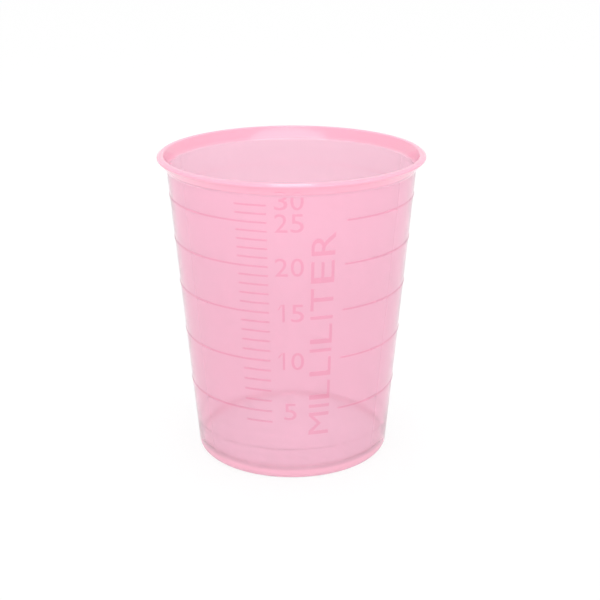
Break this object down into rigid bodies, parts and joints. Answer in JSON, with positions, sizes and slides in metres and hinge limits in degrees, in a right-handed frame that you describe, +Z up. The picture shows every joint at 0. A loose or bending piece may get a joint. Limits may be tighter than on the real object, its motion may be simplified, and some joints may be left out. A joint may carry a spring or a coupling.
{
  "type": "medicine cup",
  "caption": "Small tapered measuring cup for liquid medicine: thin see-through plastic, flared lip, stacking ledge inside, recessed base and raised volume rings, marks and figures.",
  "frame": {"origin": "centre of the ring that the cup stands on, in the standing plane", "axes": "+Z up along the cup's axis, -Y towards the side with the scale, +X to the right seen from there"},
  "size_m": [0.037, 0.037, 0.0432],
  "materials": {
    "pink_plastic": "thin clear pink plastic, smooth and glossy, see-through"
  },
  "bodies": {
    "root": {"cup": "pink_plastic"}
  },
  "joints": []
}
